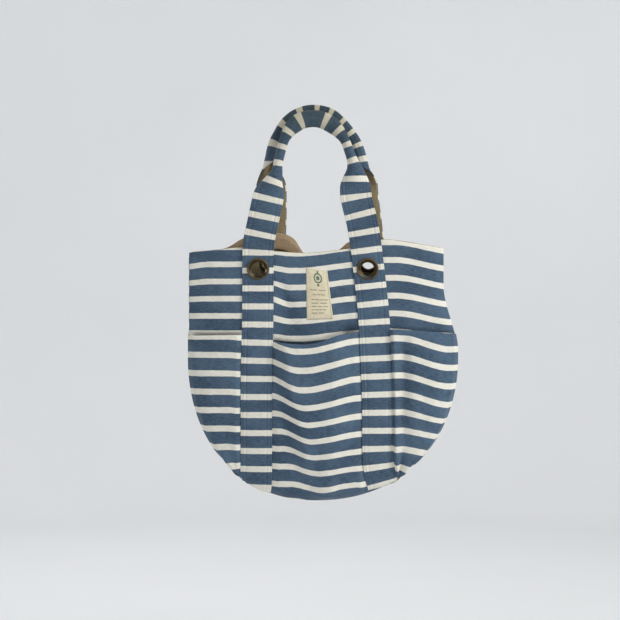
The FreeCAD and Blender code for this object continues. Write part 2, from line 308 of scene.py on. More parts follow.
class Nodes:
    """A short way to write a material's nodes."""

    def __init__(self, name):
        self.material = bpy.data.materials.new(name)
        self.material.use_nodes = True
        self.tree = self.material.node_tree
        self.surface = self.tree.nodes["Principled BSDF"]

    def add(self, kind, inputs=None, **settings):
        node = self.tree.nodes.new(kind)
        for key, value in settings.items():
            setattr(node, key, value)
        for key, value in (inputs or {}).items():
            self.put(node.inputs[key], value)
        return node

    def put(self, socket, value):
        if isinstance(value, bpy.types.NodeSocket):
            self.tree.links.new(value, socket)
        else:
            socket.default_value = value

    def math(self, operation, *values, clamp=False):
        node = self.add("ShaderNodeMath", operation=operation, use_clamp=clamp)
        for socket, value in zip(node.inputs, values):
            self.put(socket, value)
        return node.outputs[0]

    def times(self, first, second):
        return self.math("MULTIPLY", first, second)

    def plus(self, first, second):
        return self.math("ADD", first, second)

    def place(self):
        return self.add("ShaderNodeTexCoord").outputs["Object"]

    def speckle(self, scale, detail, rough=0.5):
        """Noise that follows the place on the object."""
        return self.add("ShaderNodeTexNoise", {
            "Vector": self.place(), "Scale": scale, "Detail": detail, "Roughness": rough}).outputs[0]

    def lay_out(self):
        """Finds the millimetres across and along the cloth, which noise() needs."""
        uv = self.add("ShaderNodeUVMap", uv_map="cloth").outputs[0]
        scaled = self.add("ShaderNodeVectorMath", {0: uv, 1: (1 / MM,) * 3}, operation="MULTIPLY")
        parts = self.add("ShaderNodeSeparateXYZ", {0: scaled.outputs[0]})
        self.across, self.along = parts.outputs[0], parts.outputs[1]
        return self.across, self.along

    def noise(self, width, length, seed, detail=3, rough=0.5):
        """Noise from 0 to 1 whose blotches are so many millimetres wide and long."""
        place = self.add("ShaderNodeCombineXYZ", {
            0: self.math("DIVIDE", self.across, width), 1: self.math("DIVIDE", self.along, length), 2: seed})
        return self.add("ShaderNodeTexNoise", {
            "Vector": place.outputs[0], "Scale": 1.0, "Detail": detail, "Roughness": rough}).outputs[0]

    def ramp(self, value, low, high):
        node = self.add("ShaderNodeMapRange", {"Value": value, "From Min": low, "From Max": high}, clamp=True)
        return node.outputs[0]

    def mix(self, factor, first, second, kind="MIX"):
        node = self.add("ShaderNodeMix", data_type="RGBA", blend_type=kind)
        colours = [socket for socket in node.inputs if socket.type == "RGBA"]
        self.put(node.inputs[0], factor)
        self.put(colours[0], first)
        self.put(colours[1], second)
        return next(socket for socket in node.outputs if socket.type == "RGBA")

    def tint(self, colour, mask, low, high, amount, other):
        """Turns colour to other as mask goes from low to high, by amount at most."""
        return self.mix(self.times(self.ramp(mask, low, high), amount), colour, other)

    def bump(self, height, strength, distance, normal=None):
        inputs = {"Height": height, "Strength": strength, "Distance": distance}
        if normal is not None:
            inputs["Normal"] = normal
        return self.add("ShaderNodeBump", inputs).outputs[0]

    def finish(self, colour, roughness, normal=None, sheen=0.0, metallic=0.0):
        self.put(self.surface.inputs["Base Color"], colour)
        self.put(self.surface.inputs["Roughness"], roughness)
        self.put(self.surface.inputs["Metallic"], metallic)
        self.put(self.surface.inputs["Sheen Weight"], sheen)
        self.put(self.surface.inputs["Sheen Roughness"], 0.5)
        if metallic == 0:
            self.put(self.surface.inputs["Specular IOR Level"], 0.25)
        if normal is not None:
            self.put(self.surface.inputs["Normal"], normal)
        return self.material


def rgb(red, green, blue):
    """A screen colour, 0 to 255, as the linear colour that a node takes."""
    def linear(value):
        value /= 255
        return value / 12.92 if value <= 0.04045 else ((value + 0.055) / 1.055) ** 2.4
    return (linear(red), linear(green), linear(blue), 1)


# The stripes' repeat and the width of a cream one
STRIPE_REPEAT = 27.0
CREAM_WIDTH = 8.8
# Heights, in metres, from where to where the painted shade comes in on the legs and on the grips
LEGS_PAINTED_SHADE = (-0.2, -0.14)
GRIP_PAINTED_SHADE = (-0.07, 0.03)


def striped_cotton():
    """A soft heathered knit: narrow cream stripes on washed blue, with a fine rib and uneven yarns."""
    mat = Nodes("striped_cotton")
    across, along = mat.lay_out()
    wander = mat.noise(9, 5, 1.3)
    edge = mat.plus(along, mat.times(mat.math("SUBTRACT", wander, 0.5), 1.1))
    turn = mat.math("FRACT", mat.plus(mat.math("DIVIDE", edge, STRIPE_REPEAT), 0.5))
    off_centre = mat.math("ABSOLUTE", mat.math("SUBTRACT", turn, 0.5))
    half_width = CREAM_WIDTH / STRIPE_REPEAT / 2
    cream = mat.ramp(off_centre, half_width + 0.012, half_width - 0.012)

    yarn = mat.noise(7, 0.8, 4.1, rough=0.65)
    fleck = mat.noise(1.6, 0.7, 9.7, detail=2, rough=0.7)
    wash = mat.noise(60, 45, 2.2)
    blue = mat.mix(mat.ramp(yarn, 0.32, 0.68), rgb(46, 65, 85), rgb(86, 108, 129))
    blue = mat.tint(blue, fleck, 0.56, 0.78, 0.4, rgb(122, 141, 158))
    blue = mat.tint(blue, fleck, 0.42, 0.24, 0.5, rgb(36, 51, 69))
    blue = mat.tint(blue, wash, 0.42, 0.66, 0.42, rgb(96, 120, 142))
    blue = mat.tint(blue, wash, 0.46, 0.3, 0.35, rgb(50, 68, 86))
    pale = mat.mix(mat.ramp(yarn, 0.3, 0.7), rgb(224, 219, 204), rgb(243, 240, 230))
    pale = mat.tint(pale, fleck, 0.6, 0.85, 0.3, rgb(206, 196, 170))
    colour = mat.mix(cream, blue, pale)
    # Painted shade: the cloth is darkened by its height on the bag, a little on the handles' legs and more on
    # the grips, for the shade that falls there
    height_on_bag = mat.add("ShaderNodeSeparateXYZ", {0: mat.place()}).outputs[2]
    shade_on_legs = mat.times(mat.ramp(height_on_bag, *LEGS_PAINTED_SHADE), 0.18)
    painted_shade = mat.plus(mat.ramp(height_on_bag, *GRIP_PAINTED_SHADE), shade_on_legs)
    painted_shade = mat.math("MULTIPLY", painted_shade, 0.8, clamp=True)
    colour = mat.mix(painted_shade, colour, rgb(196, 190, 172), kind="MULTIPLY")

    rib = mat.math("SINE", mat.times(along, math.tau / 0.9))
    loop = mat.math("SINE", mat.times(across, math.tau / 1.1))
    weave = mat.plus(mat.times(rib, 0.6), mat.times(loop, 0.4))
    height = mat.plus(mat.times(weave, 0.10), mat.plus(yarn, mat.times(fleck, 0.6)))
    height = mat.plus(height, mat.times(cream, 0.25))
    crease = mat.noise(26, 15, 6.6, detail=4, rough=0.6)
    soft = mat.bump(crease, 0.35, 0.0035)
    normal = mat.bump(height, 0.55, 0.0007, soft)
    return mat.finish(colour, 0.9, normal, sheen=0.12)


def plain_canvas(name, dark, light, stain):
    """A plain weave: fine over-and-under threads, slubs and a little uneven dye."""
    mat = Nodes(name)
    across, along = mat.lay_out()
    warp = mat.math("SINE", mat.times(across, math.tau / 0.95))
    weft = mat.math("SINE", mat.times(along, math.tau / 0.95))
    weave = mat.times(warp, weft)
    slub = mat.noise(12, 0.9, 3.4, rough=0.6)
    upright = mat.noise(0.9, 14, 7.7, rough=0.6)
    both = mat.times(mat.plus(slub, upright), 0.5)
    dye = mat.noise(40, 55, 5.1)
    colour = mat.mix(mat.ramp(both, 0.36, 0.64), dark, light)
    colour = mat.tint(colour, dye, 0.45, 0.75, 0.35, stain)
    crease = mat.noise(22, 18, 1.9, detail=4, rough=0.6)
    soft = mat.bump(crease, 0.4, 0.003)
    normal = mat.bump(mat.plus(mat.times(weave, 0.25), both), 0.5, 0.0006, soft)
    return mat.finish(colour, 0.92, normal, sheen=0.08)


def thread(name, dark, light):
    """Twisted yarn, a little uneven in colour."""
    mat = Nodes(name)
    twist = mat.add("ShaderNodeTexWave", {
        "Vector": mat.place(), "Scale": 700.0, "Distortion": 2.0}).outputs[1]
    colour = mat.mix(mat.speckle(900.0, 2.0), dark, light)
    return mat.finish(colour, 0.75, mat.bump(twist, 0.4, 0.0002), sheen=0.1)


def antique_brass():
    """Dark patina in the hollows, worn to yellow metal on the raised ring."""
    mat = Nodes("antique_brass")
    blotch = mat.speckle(190.0, 5.0, 0.65)
    fine = mat.speckle(1500.0, 3.0)
    worn = mat.ramp(mat.add("ShaderNodeNewGeometry").outputs["Pointiness"], 0.5, 0.56)
    wear = mat.math("MAXIMUM", mat.times(worn, 0.8), mat.ramp(blotch, 0.55, 0.75))
    colour = mat.mix(wear, rgb(58, 50, 37), rgb(128, 112, 80))
    colour = mat.mix(mat.ramp(blotch, 0.42, 0.28), colour, rgb(32, 29, 24))
    roughness = mat.plus(0.32, mat.times(fine, 0.25))
    return mat.finish(colour, roughness, mat.bump(fine, 0.15, 0.0002), metallic=0.85)


MATERIALS = {
    "striped_cotton": striped_cotton(),
    "khaki_lining": plain_canvas("khaki_lining", rgb(126, 112, 82), rgb(163, 149, 116), rgb(146, 130, 98)),
    "tan_facing": plain_canvas("tan_facing", rgb(150, 128, 100), rgb(186, 164, 134), rgb(165, 140, 108)),
    "label_cotton": plain_canvas("label_cotton", rgb(214, 202, 170), rgb(236, 228, 203), rgb(222, 206, 168)),
    "ink": thread("label_ink", rgb(96, 116, 92), rgb(120, 138, 112)),
    "faded_ink": thread("label_faded_ink", rgb(150, 142, 120), rgb(176, 166, 142)),
    "tan_thread": thread("tan_thread", rgb(62, 50, 50), rgb(102, 82, 76)),
    "orange_thread": thread("orange_thread", rgb(196, 126, 84), rgb(222, 158, 116)),
    "pale_thread": thread("pale_thread", rgb(196, 182, 150), rgb(224, 212, 184)),
    "brass": antique_brass(),
}


def paint(piece, material, slot):
    piece.data.materials.append(MATERIALS[material])


# ---- the two halves

# How far to each side of a row of stitches the slope of the cloth is taken
STITCH_SIDE = 0.8
# Half a strap's width, and its rows of stitches, from its middle line
STRAP_HALF = 24
STITCH_ROWS = (-STRAP_HALF + 2.8, -STRAP_HALF + 8, STRAP_HALF - 8, STRAP_HALF - 2.8)
# A strap is sewn down below this height
SEWN_BELOW = -150


class Half:
    """One half of the bag: its shape, as functions of x and z, and the names of its bodies; its eyelets are
    parented to its bag body.
    """

    def __init__(self, name, sign, rim, hems, strap_route, stripe_marks, yoke_fold, pocket_fold, stripes):
        self.name = name
        self.sign = sign
        self.rim = rim
        self.hems = hems
        self.distance, self.route = smooth_line(strap_route, 1600)
        self.stripe_marks = stripe_marks
        self.yoke_fold = yoke_fold
        self.pocket_fold = pocket_fold
        self.stripes = stripes
        self.bag = f"bag_{name}"
        self.handle = f"{name}_handle"
        top = self.route[:, 1].argmax()
        self.legs = {"left": self.route[:top], "right": self.route[top:][::-1]}

    def strap_x(self, side, z):
        """x of a strap's middle line at a height below the rim."""
        leg = self.legs[side]
        sewn = leg[leg[:, 1] < SEWN_BELOW]
        return np.interp(z, sewn[:, 1], sewn[:, 0])

    def strap_at(self, side, x, z):
        return x - self.strap_x(side, z)

    def stripe_v(self, place, x, z):
        """v of the cloth at x and z: a cream stripe lies where v is a multiple of STRIPE_REPEAT."""
        repeat, drop = self.stripes[place]
        return (z + drop(x, z)) * STRIPE_REPEAT / repeat

    def eyelets(self):
        for side in SIDES:
            low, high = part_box(f"{self.name}_eyelet_{side}")
            yield side, (low + high) / 2 / MM

    def follow_bag(self, piece):
        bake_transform(piece)

    def follow_handle(self, piece):
        rim = float(self.rim(self.legs["left"][0, 0])) * MM
        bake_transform(piece)


def near_straps(half, x, z, reach=10, start=-2):
    """1 under and beside the straps, 0 away from them."""
    total = 0
    for side in SIDES:
        beside = np.abs(half.strap_at(side, x, z)) - STRAP_HALF
        total = total + 1 - step(beside, start, reach)
    return total


# Where the cloth of the centre pocket turns out from the left strap, and how far its stripes sag there
fold_line = through((-580, -5), (-520, -16), (-475, -26), (-437, -35), (-400, -43), (-333, -52))
sag_left = through((-560, 9), (-520, 11.5), (-465, 16), (-410, 17.6), (-360, 13.6), (-320, 12))
sag_right = through((-560, 10), (-520, 8), (-465, 11.5), (-410, 14.6), (-360, 15), (-320, 15))


def front_yoke_fold(x, z):
    falls = hill(x, 54, 19) * hill(z, -318, 20) * 10
    hollow = hill(x, -46 + (z + 260) * -0.25, 12) * hill(z, -268, 34) * 5
    swell = 4 * hill(x, -5, 45) * step(-z, 200, 330)
    right = 3 * hill(x, 150, 30) * hill(z, -290, 60)
    return swell + right - falls - hollow + wrinkles(x, z, 11, fine=0.6)


def radiating(x, z, centre_x, centre_z, count, phase, reach):
    """Folds that spread from one point."""
    away = np.hypot(x - centre_x, z - centre_z)
    angle = np.arctan2(z - centre_z, x - centre_x)
    return (0.5 + 0.5 * np.cos(count * angle + phase)) * np.exp(-away / reach) * step(away, 2, 14)


def front_pocket_fold(place, x, z):
    if place == "centre":
        fold = fold_line(z)
        strength = 1 - 0.7 * step(-z, 470, 560)
        rise = step(x, fold - 14, fold + 12)
        fall = step(x, 26, 66)
        body = 13.5 * rise * (1 - 0.85 * fall) * strength
        second = 4 * hill(x, 24, 13) * hill(z, -545, 45) - 3 * hill(x, -4, 10) * hill(z, -560, 34)
        return 1.5 + body + second + wrinkles(x, z, 21)
    if place == "left":
        gathers = 11 * radiating(x, z, -108, -548, 11, 0.6, 34)
        flat = 3 * hill(x, -150, 34) * step(-z, 325, 380)
        return 2 + flat + gathers + wrinkles(x, z, 31)
    upright = step(-z, 312, 345) * (1 - step(-z, 455, 515))
    valley = 6.5 * hill(x, 136, 9.5) * upright
    swell = 6 + 2 * step(x, 138, 160) - 3 * step(x, 165, 215) + 2 * hill(x, 184, 12) * upright
    gathers = 10 * radiating(x, z, 124, -548, 11, 2.4, 32)
    pleat = 6.5 * hill(x, 134 + (z + 500) * 0.1, 5) * hill(z, -518, 24)
    return swell - valley - pleat + gathers + wrinkles(x, z, 41, coarse=1.1)


def back_yoke_fold(x, z):
    return 3 * hill(x, 10, 50) * step(-z, 200, 320) + 1.4 * ripple(x, z, 51)


def back_pocket_fold(place, x, z):
    if place == "centre":
        swell = 7 * hill(x, 24 + (z + 430) * 0.12, 36)
        return swell * (1 - 0.6 * step(-z, 470, 560)) + 1.6 * ripple(x, z, 61)
    corner = {"left": -104, "right": 128}[place]
    middle = {"left": -148, "right": 165}[place]
    gathers = 12 * radiating(x, z, corner, -548, 10, 1.1, 30)
    return 4.5 * hill(x, middle, 28) * step(-z, 320, 390) + gathers + 1.4 * ripple(x, z, 71)


# For each part of a half: its stripes' repeat as hung, and how far they are moved down at (x, z)
FRONT_STRIPES = {
    "yoke_left": (26.5, lambda x, z: 211.6 + 4 * (1 - step(x, -200, -162)) * step(z, -300, -200)),
    "yoke_centre": (26.1, lambda x, z: 195.3 - 9.3 * step(x, -22, 72)
                    - (3 + 6 * hill(z, -262, 36)) * (1 - step(x, -68, -34))),
    "yoke_right": (27.4, lambda x, z: 205 + 13.5 * step(x, 125, 215)),
    "left": (28, lambda x, z: 350.9 + 1.5 * step(x, -130, -110)),
    "centre": (STRIPE_REPEAT, lambda x, z: 332.3 - sag_right(z) * step(x, -14, 72)
               + sag_left(z) * step(x, fold_line(z) - 24, fold_line(z) + 24)),
    "right": (28.2, lambda x, z: 353.7 + (17 - 9 * step(-z, 425, 490)) * step(x, 132, 206)),
}
BACK_STRIPES = {
    "yoke_left": (27.2, lambda x, z: 196), "yoke_centre": (27.2, lambda x, z: 199),
    "yoke_right": (27.2, lambda x, z: 191), "left": (27.2, lambda x, z: 345),
    "centre": (27.2, lambda x, z: 350 + 7 * hill(x, 10, 60)), "right": (27.2, lambda x, z: 342),
}

# Each strap's middle line, (x, z), from its left end over the grip to its right end
FRONT_ROUTE = [
    (-89, -560), (-87.6, -530), (-87.3, -390), (-85.7, -313), (-85.3, -230), (-84.8, -184), (-77.7, -147),
    (-69, -107), (-61.8, -83.7), (-56.5, -70), (-54, -53), (-48.5, -31), (-43, -15), (-33, 0), (-18, 10.6),
    (2, 13.5), (20, 8.6), (36, -3.6), (48.5, -20.8), (56.5, -42), (61.8, -57), (64.2, -72), (65.2, -107),
    (74.5, -147), (80.6, -184), (88.2, -250), (93, -305), (97.8, -421), (98.5, -499),
    (101.5, -530), (107, -552),
]
BACK_ROUTE = [
    (-81, -562), (-77, -440), (-72, -300), (-68, -200), (-67.4, -174), (-66, -140), (-66, -112), (-66, -88),
    (-66.6, -65), (-64, -37), (-56, -14), (-37, 11), (-8, 24), (22, 20.5), (46, 3), (64, -20), (73.5, -47),
    (76, -68), (76.5, -86), (78, -107), (82, -137), (85.5, -172), (86, -200), (92, -300),
    (99, -440), (106, -553),
]
# Cream stripes along a strap: how many repeats up from its end, and where
FRONT_MARKS = [
    (0, (-88.6, -553)), (13, (-85, -193.5)), (17, (-61.8, -84.2)), (18, (-56, -55)), (21, (-20.3, 9.5)),
    (21.7, (0, 13.5)), (21, (18.4, 9.5)), (18, (61.4, -50.8)), (17, (66, -80.6)), (13, (81, -190.7)),
    (0, (106.5, -549)),
]
BACK_MARKS = [
    (0, (-80.7, -553)), (14, (-67, -170)), (17.3, (-66, -84)), (18.4, (-65.5, -42)), (21, (-19.7, 24.3)),
    (21.9, (3.4, 30.2)), (22.5, (16, 25)), (21.9, (28.4, 22)), (18, (78.6, -45)), (17, (79, -80)),
    (14, (84, -166)), (0, (106, -553)),
]

FRONT = Half(
    "front", -1,
    rim=through((-194.5, -193), (-150, -189.5), (-110.8, -186), (-60, -191.6), (-17, -194.5), (10, -193.4),
                (56.6, -187), (104, -174), (150, -178.5), (204, -187)),
    hems={
        "left": through((-200, -322), (-150, -321), (-85, -320)),
        "centre": through((-90, -327), (-62, -328.6), (-45, -332.5), (-15, -334.5), (10, -331), (36, -321.5),
                          (67, -316), (100, -315)),
        "right": through((85, -311), (150, -314), (225, -320)),
    },
    strap_route=FRONT_ROUTE, stripe_marks=FRONT_MARKS, yoke_fold=front_yoke_fold,
    pocket_fold=front_pocket_fold, stripes=FRONT_STRIPES,
)
BACK = Half(
    "back", 1,
    rim=through((-194.5, -193), (-140, -187), (-112, -172), (-90, -166), (-62, -162.6), (-50, -163),
                (-38, -166.8), (-28, -174.5), (-21, -186), (-14, -195), (-2, -200), (27, -200), (42, -187),
                (62, -174), (104, -172), (150, -177), (204, -188)),
    hems={
        "left": through((-200, -318), (-75, -314)),
        "centre": through((-85, -324), (5, -328), (100, -322)),
        "right": through((80, -314), (225, -318)),
    },
    strap_route=BACK_ROUTE, stripe_marks=BACK_MARKS, yoke_fold=back_yoke_fold,
    pocket_fold=back_pocket_fold, stripes=BACK_STRIPES,
)


# ---- panels, linings and facings

# Thicknesses of the cloths; the pockets are cut from the panel's
PANEL_THICK = 1.6
LINING_THICK = 0.8
FACING_THICK = 1.2
STRAP_THICK = 2.2
HANDLE_LINING_THICK = 1.0
LABEL_THICK = 0.7
# Points across and down each sheet, and along a strap
PANEL_GRID = (171, 150)
LINING_GRID = (111, 100)
FACING_GRID = (151, 14)
POCKET_GRID = (91, 130)
STRAP_STATIONS = 420
FACING_HEIGHT = 26
# How far the facing stands above the rim
FACING_SHOWS = 0.7
# Radius of the hole under an eyelet
HOLE = 12.6
# How far the panel falls back behind each pocket's mouth, and over what height
MOUTH_DROPS = (6, 6, 2.5)
MOUTH_FALL = 5.5
PANEL_NODES = ("panel_left", "panel_centre", "panel_right", "yoke_left", "yoke_right")


def at_edge(x, z, reach=14):
    """1 on the side and bottom seams, 0 away from them."""
    inside = np.minimum(x - left_edge(z), right_edge(z) - x)
    above = z - bottom_edge(x)
    return 1 - step(np.minimum(inside, above), 0, reach)


def panel_lift(half, x, z):
    """How far the panel stands off the outer surface; behind each pocket's mouth it falls back."""
    fold = half.yoke_fold(x, z) * (1 - near_straps(half, x, z, 16)) * (1 - step(-z, 335, 365))
    place = yoke_place(half, x, z)
    hem = np.choose(place, [half.hems[name](x) for name in PLACES])
    drop = np.choose(place, MOUTH_DROPS)
    behind = drop * (1 - step(z - hem, -1, MOUTH_FALL)) * (1 - near_straps(half, x, z, 8))
    return (fold - behind) * (1 - at_edge(x, z)) - 1.0


def yoke_place(half, x, z):
    """0 left of the straps, 1 between them, 2 right of them."""
    left, right = half.strap_at("left", x, z), half.strap_at("right", x, z)
    return np.where(left < 0, 0, np.where(right < 0, 1, 2))


def holes(half):
    return [(centre.x, centre.z, HOLE) for _, centre in half.eyelets()]


def sew(half, name, points, uv, thickness, looks, stands_for, holes=(), moves_with=None):
    """A sheet with its material, hiding the CAD nodes that it stands for; moves_with, or else the half's
    follow_bag, is then called on it.
    """
    piece = cloth(name, half, points, uv, thickness, holes)
    paint(piece, *looks)
    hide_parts(*stands_for)
    (moves_with or half.follow_bag)(piece)
    return piece


def declare(points, rows_follow_cloth=False):
    """Works out what size the cloth was cut to: its width by its greatest length, and its area. Nothing is
    kept or returned.
    """
    rows, columns, area = spans(points)
    width = np.median(rows)
    if not rows_follow_cloth:
        level = points * (1, 1, 0)
        width = spans(level)[0].max()
    width, length = round(float(width), 3), round(float(columns.max()), 3)


STRIPED = ("striped_cotton", "striped_cotton")
LINED = ("khaki_lining", "khaki_lining")


def make_panel(half):
    x, z = region(side_left, side_right, half.rim, bottom_edge, *PANEL_GRID)
    points = on_surface(x, z, panel_lift(half, x, z))
    v = np.choose(yoke_place(half, x, z), [half.stripe_v(f"yoke_{name}", x, z) for name in PLACES])
    nodes = [f"{half.name}_{node}" for node in PANEL_NODES]
    piece = sew(
        half, f"{half.name}_panel", points, np.stack([x, v], -1), PANEL_THICK, STRIPED, nodes, holes(half))
    declare(points)


def make_lining(half):
    def top(x):
        return half.rim(x) - 5

    def bottom(x):
        return bottom_edge(x) + SEAM_INSET

    x, z = region(inside_left, inside_right, top, bottom, *LINING_GRID)
    lift = panel_lift(half, x, z) - 1.6 - 0.8 * (1 + ripple(x, z, 81, 60)) * (1 - at_edge(x, z))
    points = on_surface(x, z, lift)
    name = f"{half.name}_lining"
    piece = sew(half, f"{name}_cloth", points, np.stack([x, z], -1), LINING_THICK, LINED, [name], holes(half))
    declare(points)


def make_facing(half):
    def bottom(x):
        return half.rim(x) - FACING_HEIGHT

    x, z = region(inside_left, inside_right, half.rim, bottom, *FACING_GRID, ease=1)
    z = z + FACING_SHOWS
    creases = 1.2 * ripple(x, z, 83, 46) * step(half.rim(x) - z, 2, 12) * (1 - at_edge(x, z))
    behind = 1.5 + 2.6 * step(half.rim(x) - z, 1, 8) * (1 - at_edge(x, z, 24))
    points = on_surface(x, z, panel_lift(half, x, z) - behind - creases)
    name, looks = f"{half.name}_facing", ("tan_facing", "khaki_lining")
    piece = sew(half, f"{name}_cloth", points, np.stack([x, z], -1), FACING_THICK, looks, [name], holes(half))
    declare(points, rows_follow_cloth=True)


# ---- pockets


# How far from the straps, out and in, each pocket is held down by its seam
POCKET_SEAMS = {"left": (7,), "centre": (12,), "right": (2.4, -0.2)}


def pocket_lift(half, place, x, z):
    """How far a pocket stands off the outer surface; its mouth gapes a little."""
    loose = 1 - np.clip(near_straps(half, x, z, *POCKET_SEAMS[place]), 0, 1)
    fold = (2.2 + half.pocket_fold(place, x, z)) * loose
    gape = 1.5 * (1 - step(half.hems[place](x) - z, 0, 40)) * loose
    return (fold + gape) * (1 - at_edge(x, z, 12)) + 1.0


def make_pocket(half, place):
    def left_strap(z):
        return half.strap_x("left", z)

    def right_strap(z):
        return half.strap_x("right", z)

    lines = (side_left, left_strap, right_strap, side_right)
    number = PLACES.index(place)
    left, right = lines[number], lines[number + 1]
    x, z = region(left, right, half.hems[place], bottom_edge, *POCKET_GRID)
    points = on_surface(x, z, pocket_lift(half, place, x, z))
    uv = np.stack([x, half.stripe_v(place, x, z)], -1)
    name = f"{half.name}_pocket_{place}"
    piece = sew(half, f"{name}_cloth", points, uv, PANEL_THICK, STRIPED, [name])
    declare(points)


# ---- straps and handles


def strap_stations(half):
    """Distance along the strap, its middle line, side direction and stripe count at each station."""
    s = np.linspace(0, half.distance[-1], STRAP_STATIONS)
    centre = along_line(s, half.distance, half.route)
    along = np.gradient(centre, axis=0)
    along /= np.linalg.norm(along, axis=1, keepdims=True)
    side = np.column_stack([along[:, 1], -along[:, 0]])
    marks = []
    for number, place in half.stripe_marks:
        nearest = np.hypot(*(half.route - place).T).argmin()
        marks.append((half.distance[nearest], number))
    marks = np.array(marks)
    return s, centre, side, np.interp(s, marks[:, 0], marks[:, 1]) * STRIPE_REPEAT


# Heights where each leg starts to roll up and where it is fully rolled, and that roll in radians
FLAT_LEG_TOP = {"front": {"left": -114, "right": -104}, "back": {"left": -100, "right": -92}}
ROLLED_FROM = {"front": {"left": -60, "right": -42}, "back": {"left": -42, "right": -52}}
FULL_ROLL = 5.9
# Where the open side of the rolled grip faces, as a turn from straight inwards, and the grip's proportions
GRIP_TURN = {"front": 0.5, "back": -1.05}
GRIP_WIDTH, GRIP_DEEP = {"front": 0.8, "back": 1.12}, {"front": 1.12, "back": 0.86}
TOP_WIDTH, TOP_DEEP = 1.5, 0.55
# How far below its top the grip starts to be crushed, and is fully so
CRUSHED_FROM, CRUSHED_TO = 36, 4
# Heights over the rim between which the sewn strap becomes the free handle
FREE_FROM, FREE_TO = -8, 16
# How far the handle's lining lies behind the strap's middle surface
LINING_SINK = 1.7
# Depth of the grip's face, and the same at the crushed top
HANDLE_DEPTH = 20.5
TOP_DEPTH = 13


def roll_of(half, centre):
    """How far round the strap is rolled at each station, in radians."""
    top = centre[:, 1].argmax()
    sides = np.where(np.arange(len(centre)) < top, "left", "right")
    roll = np.zeros(len(centre))
    for name in ("left", "right"):
        flat, full = FLAT_LEG_TOP[half.name][name], ROLLED_FROM[half.name][name]
        share = np.clip((centre[:, 1] - flat) / (full - flat), 0, 1)
        roll = np.where(sides == name, FULL_ROLL * (0.5 * share + 0.5 * step(share, 0, 1)), roll)
    return roll


def sewn_depth(half, x, z):
    """Lift of the strap's middle surface: over the panel above the hems, over the pockets below."""
    hem = np.where(x < 0, half.hems["left"](x), half.hems["right"](x))
    return 1.7 + 1.9 * step(hem - z, -6, 10)


def grooves(w):
    """How deep the rows of stitches pull the strap in, so far from its middle line."""
    return sum(0.75 * hill(w, row, 1.1) for row in STITCH_ROWS)


def strap_surface(half, across, sink):
    """The strap as a grid (along, across). across is in mm from its middle, and sink goes to its lining."""
    s, centre, side, stripe = strap_stations(half)
    rim = half.rim(centre[:, 0])
    w = across[None, :]
    flat_x = centre[:, :1] + side[:, :1] * w
    flat_z = centre[:, 1:] + side[:, 1:] * w
    lift = sewn_depth(half, flat_x, flat_z) - 0.5 * np.abs(w / STRAP_HALF) ** 4 - grooves(w) - sink
    sewn = on_surface(flat_x, np.maximum(flat_z, bottom_edge(flat_x) + 0.5), lift)

    roll = np.maximum(roll_of(half, centre), 0.02)[:, None]
    radius = 2 * STRAP_HALF / roll
    grip = step(roll, 3.5, FULL_ROLL)
    top = centre[:, 1].max()
    crushed = step(centre[:, 1:], top - CRUSHED_FROM, top - CRUSHED_TO) * grip
    side_width, side_deep = GRIP_WIDTH[half.name], GRIP_DEEP[half.name]
    wide = 1 + (side_width - 1) * grip + (TOP_WIDTH - side_width) * crushed
    deep = 1 + (side_deep - 1) * grip + (TOP_DEEP - side_deep) * crushed
    angle = w / radius + GRIP_TURN[half.name] * grip * (1 - 0.6 * crushed)
    sunk = sink + grooves(w)
    reach = (radius - sunk) * np.sin(angle) * wide
    back = (radius - (radius - sunk) * np.cos(angle)) * deep
    face = HANDLE_DEPTH + (TOP_DEPTH - HANDLE_DEPTH) * crushed
    loose = np.stack([
        centre[:, :1] + side[:, :1] * reach, face - back, centre[:, 1:] + side[:, 1:] * reach], -1)
    above = step(centre[:, 1] - rim, FREE_FROM, FREE_TO)[:, None, None]
    return sewn * (1 - above) + loose * above, s, stripe


def make_strap(half):
    """The whole striped strap, both legs and the grip between them, finer beside its rows of stitches."""
    beside = np.array([-2, -1, 0, 1, 2]) * STITCH_SIDE
    close = np.concatenate([row + beside for row in STITCH_ROWS])
    across = np.unique(np.concatenate([np.linspace(-STRAP_HALF, STRAP_HALF, 5), close, [-12, -6, 6, 12]]))
    points, _, stripe = strap_surface(half, across, 0)
    uv = np.stack(np.broadcast_arrays(across[None, :], stripe[:, None]), -1)
    name = half.name
    nodes = [f"{name}_strap_left", f"{name}_strap_right", f"{name}_handle_strap"]
    piece = sew(half, f"{name}_strap", points[:, ::-1], uv[:, ::-1], STRAP_THICK, STRIPED, nodes, holes(half),
                half.follow_handle)
    declare(points, rows_follow_cloth=True)


def make_strap_lining(half):
    """The khaki backing inside the handle, from just inside one rim to just inside the other."""
    across = np.linspace(-STRAP_HALF + 1.2, STRAP_HALF - 1.2, 21)
    points, s, _ = strap_surface(half, across, LINING_SINK)
    handle = points[:, 10, 2] > half.rim(points[:, 10, 0]) - 3
    points, s = points[handle], s[handle]
    uv = np.stack(np.broadcast_arrays(across[None, :], s[:, None]), -1)
    name = f"{half.name}_handle_lining"
    piece = sew(half, f"{name}_cloth", points[:, ::-1], uv[:, ::-1], HANDLE_LINING_THICK, LINED, [name],
                moves_with=half.follow_handle)
    declare(points, rows_follow_cloth=True)


# ---- stitches

# A stitch's length, the gap after it and its thread's radius, and how many sides the thread has
STITCH, STITCH_GAP, THREAD = 2.8, 0.8, 0.72
ROUND = 6
# How high the middle of a stitch arches, how deep its ends sink in, and how thin they are
ARCH, END_SUNK, END_THIN = 0.35, 0.12, 0.45
# How far below the rim and the hem the straps' bars of stitches lie, and the cloth's thickness under them
RIM_BARS, HEM_BARS = (3, 8), (5, 10)
BAR_CLOTH = 2.4


